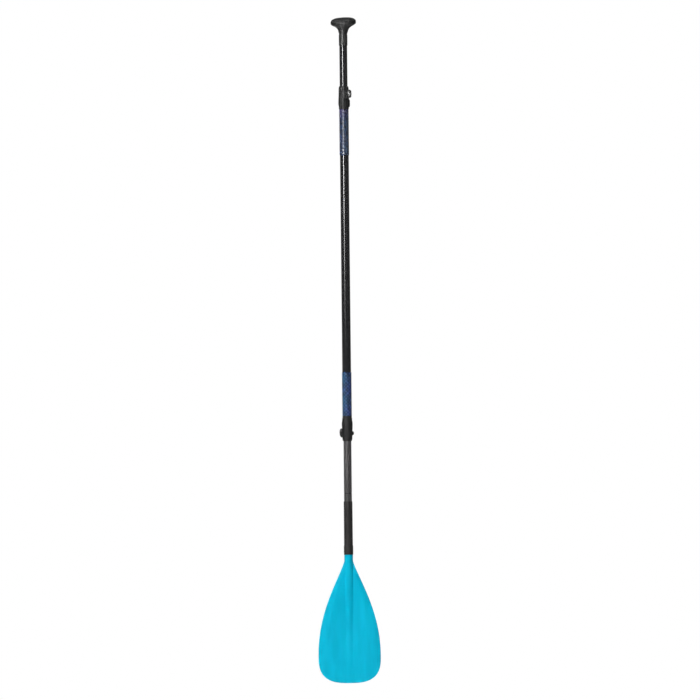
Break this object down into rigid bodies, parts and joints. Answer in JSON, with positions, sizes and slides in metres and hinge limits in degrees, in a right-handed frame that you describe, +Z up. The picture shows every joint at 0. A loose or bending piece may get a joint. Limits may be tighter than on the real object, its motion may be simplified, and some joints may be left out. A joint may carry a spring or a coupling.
{
  "type": "single blade paddle",
  "caption": "Take-apart stand-up paddle: palm grip on a telescopic handle tube, middle tube with a cam clamp at each end, and a scooped teardrop blade.",
  "frame": {"origin": "on the shaft's axis, halfway along the middle tube, where a hand or a rack holds the paddle", "axes": "+Z up the shaft towards the palm grip; -Y is the way the blade's scooped face looks; X runs across the blade"},
  "size_m": [0.1996, 0.0772, 2.1333],
  "materials": {
    "gloss_black_tube": "gloss black coated aluminium tube",
    "satin_grey_tube": "satin dark grey coated aluminium tube",
    "blue_wrap": "blue film wrap with a small geometric relief pattern",
    "clamp_nylon": "black moulded nylon, satin",
    "lever_nylon": "black moulded nylon, fine spark texture",
    "grip_plastic": "black moulded plastic, satin",
    "pad_rubber": "soft black rubber",
    "sleeve_rubber": "black heat-shrunk rubber sleeve, matt",
    "blade_plastic": "turquoise moulded plastic, satin gloss",
    "plug_plastic": "black moulded plastic",
    "acetal": "natural white acetal",
    "steel": "stainless steel"
  },
  "bodies": {
    "middle_section": {"middle_tube": "gloss_black_tube", "upper_grip_wrap": "blue_wrap", "lower_grip_wrap": "blue_wrap", "upper_clamp_collar": "clamp_nylon", "upper_clamp_bolt": "steel", "upper_clamp_barrel": "steel", "upper_clamp_cam_washer": "acetal", "upper_clamp_nut_washer": "steel", "lower_clamp_collar": "clamp_nylon", "lower_clamp_bolt": "steel", "lower_clamp_barrel": "steel", "lower_clamp_cam_washer": "acetal", "lower_clamp_nut_washer": "steel"},
    "handle_glide": {"handle_glide_ring": "acetal"},
    "handle_section": {"handle_tube": "gloss_black_tube", "handle_tube_plug": "plug_plastic", "palm_grip": "grip_plastic", "palm_pad": "pad_rubber"},
    "blade_glide": {"blade_glide_ring": "acetal"},
    "blade_section": {"blade_tube": "satin_grey_tube", "blade_tube_plug": "plug_plastic", "neck_sleeve": "sleeve_rubber", "blade": "blade_plastic"},
    "upper_lever": {"upper_clamp_lever": "lever_nylon"},
    "lower_lever": {"lower_clamp_lever": "lever_nylon"},
    "upper_nut": {"upper_clamp_nut": "lever_nylon"},
    "lower_nut": {"lower_clamp_nut": "lever_nylon"}
  },
  "joints": [
    {"name": "handle_height", "type": "slide", "parent": "middle_section", "child": "handle_glide", "axis": [0, 0, 1], "range_m": [-0.125, 0.3]},
    {"name": "handle_swivel", "type": "hinge", "parent": "handle_glide", "child": "handle_section", "pos_m": [0, 0, 0.2873], "axis": [0, 0, 1], "continuous": true},
    {"name": "blade_pull_out", "type": "slide", "parent": "middle_section", "child": "blade_glide", "axis": [0, 0, -1], "range_m": [-0.185, 0.14]},
    {"name": "blade_swivel", "type": "hinge", "parent": "blade_glide", "child": "blade_section", "pos_m": [0, 0, -0.4473], "axis": [0, 0, 1], "continuous": true},
    {"name": "upper_lever_hinge", "type": "hinge", "parent": "middle_section", "child": "upper_lever", "pos_m": [0.0186, -0.0157, 0.5431], "axis": [0, 0, 1], "range_deg": [0, 100]},
    {"name": "lower_lever_hinge", "type": "hinge", "parent": "middle_section", "child": "lower_lever", "pos_m": [-0.0157, 0.0186, -0.5431], "axis": [0, 0, -1], "range_deg": [0, 100]},
    {"name": "upper_nut_turn", "type": "hinge", "parent": "middle_section", "child": "upper_nut", "pos_m": [0.0186, 0.013, 0.5431], "axis": [0, 1, 0], "range_deg": [-180, 180]},
    {"name": "lower_nut_turn", "type": "hinge", "parent": "middle_section", "child": "lower_nut", "pos_m": [0.013, 0.0186, -0.5431], "axis": [1, 0, 0], "range_deg": [-180, 180]}
  ]
}
